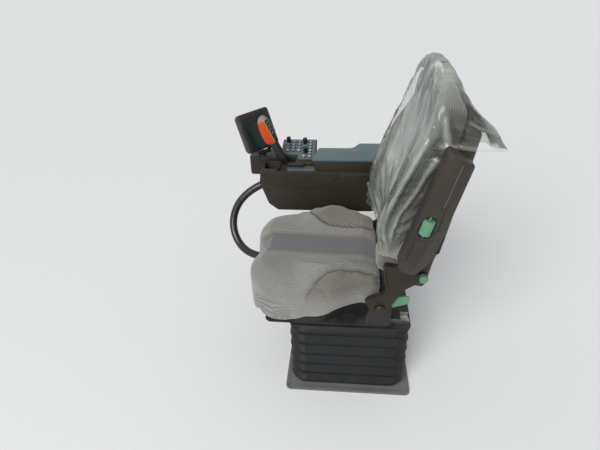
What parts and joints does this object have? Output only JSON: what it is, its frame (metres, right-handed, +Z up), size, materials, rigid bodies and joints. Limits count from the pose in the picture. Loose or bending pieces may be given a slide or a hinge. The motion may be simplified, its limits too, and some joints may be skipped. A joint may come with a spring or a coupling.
{
  "type": "combine harvester operator seat",
  "caption": "Sprung operator's seat of a combine harvester on a bellows base, with recliner, folding left armrest and a right-hand control console.",
  "frame": {"origin": "centre of the four floor bolts, on the floor under the base plate", "axes": "+Z up, the operator looks along -Y, +X at the operator's left"},
  "size_m": [0.8478, 0.9437, 1.2041],
  "materials": {
    "grey_steel": "satin paint",
    "dark_steel": "satin black paint",
    "brown_steel": "satin brown paint",
    "zinc_steel": "zinc plate, dull",
    "black_steel": "gloss black paint",
    "black_rubber": "satin",
    "grey_fabric": "corduroy, matt",
    "clear_film": "clear crinkled film",
    "brown_plastic": "fine grain, satin",
    "black_plastic": "satin",
    "green_plastic": "satin",
    "grey_plastic": "satin",
    "grey_buttons": "satin",
    "blue_grey_plastic": "satin",
    "black_vinyl": "fine grain",
    "orange_plastic": "satin",
    "dark_screen": "gloss"
  },
  "bodies": {
    "base": {"base_plate": "grey_steel", "bellows": "black_rubber", "suspension_plate": "dark_steel", "fixed_rail_left": "zinc_steel", "fixed_rail_right": "zinc_steel"},
    "seat": {"moving_rail_left": "dark_steel", "moving_rail_right": "dark_steel", "seat_frame": "dark_steel", "seat_pan": "dark_steel", "seat_cushion": "grey_fabric", "recliner_foot_left": "brown_steel", "recliner_foot_right": "brown_steel", "pivot_bolt_left": "zinc_steel", "pivot_bolt_right": "zinc_steel", "recline_lever": "green_plastic", "console_beam": "dark_steel", "console_housing": "brown_plastic", "console_cover": "brown_plastic", "bin_rim": "brown_plastic", "console_hinge": "zinc_steel", "control_deck": "brown_plastic", "keypad_panel": "grey_plastic", "keypad_buttons": "grey_buttons", "turning_knobs": "black_plastic", "switch_plate": "blue_grey_plastic", "small_lever": "black_plastic", "lever_plate": "black_plastic", "display_pod": "brown_plastic", "display_bracket": "dark_steel", "harness": "black_rubber", "harness_gland_deck": "black_plastic", "harness_gland_frame": "black_plastic"},
    "backrest": {"back_shell": "brown_plastic", "back_cushion": "grey_fabric", "back_film": "clear_film", "back_arm_left": "brown_steel", "back_arm_right": "brown_steel", "lumbar_boss": "black_plastic", "lumbar_knob": "green_plastic", "armrest_bracket": "brown_steel"},
    "armrest": {"armrest_body": "brown_plastic", "armrest_wheel": "green_plastic"},
    "lid": {"lid_tray": "brown_plastic", "lid_pad": "black_vinyl"},
    "lever": {"lever_shaft": "black_steel", "lever_grip": "black_plastic", "lever_face": "orange_plastic"},
    "display": {"display_case": "brown_plastic", "display_bezel": "black_plastic", "display_screen": "dark_screen"}
  },
  "joints": [
    {"name": "seat_slide", "type": "slide", "parent": "base", "child": "seat", "axis": [0, 1, 0], "range_m": [-0.1, 0.05]},
    {"name": "backrest_recline", "type": "hinge", "parent": "seat", "child": "backrest", "pos_m": [0, 0.099, 0.442], "axis": [1, 0, 0], "range_deg": [-20, 4]},
    {"name": "armrest_fold", "type": "hinge", "parent": "backrest", "child": "armrest", "pos_m": [0.28, 0.187, 0.735], "axis": [1, 0, 0], "range_deg": [0, 104]},
    {"name": "console_lid", "type": "hinge", "parent": "seat", "child": "lid", "pos_m": [-0.344, 0.197, 0.706], "axis": [-1, 0, 0], "range_deg": [0, 70]},
    {"name": "hydraulic_lever", "type": "hinge", "parent": "seat", "child": "lever", "pos_m": [-0.366, -0.258, 0.676], "axis": [1, 0, 0], "range_deg": [-20, 6]},
    {"name": "display_tilt", "type": "hinge", "parent": "seat", "child": "display", "pos_m": [-0.40715, -0.37355, 0.7354], "axis": [-0.788, 0.6157, 0], "range_deg": [-10, 6]}
  ]
}
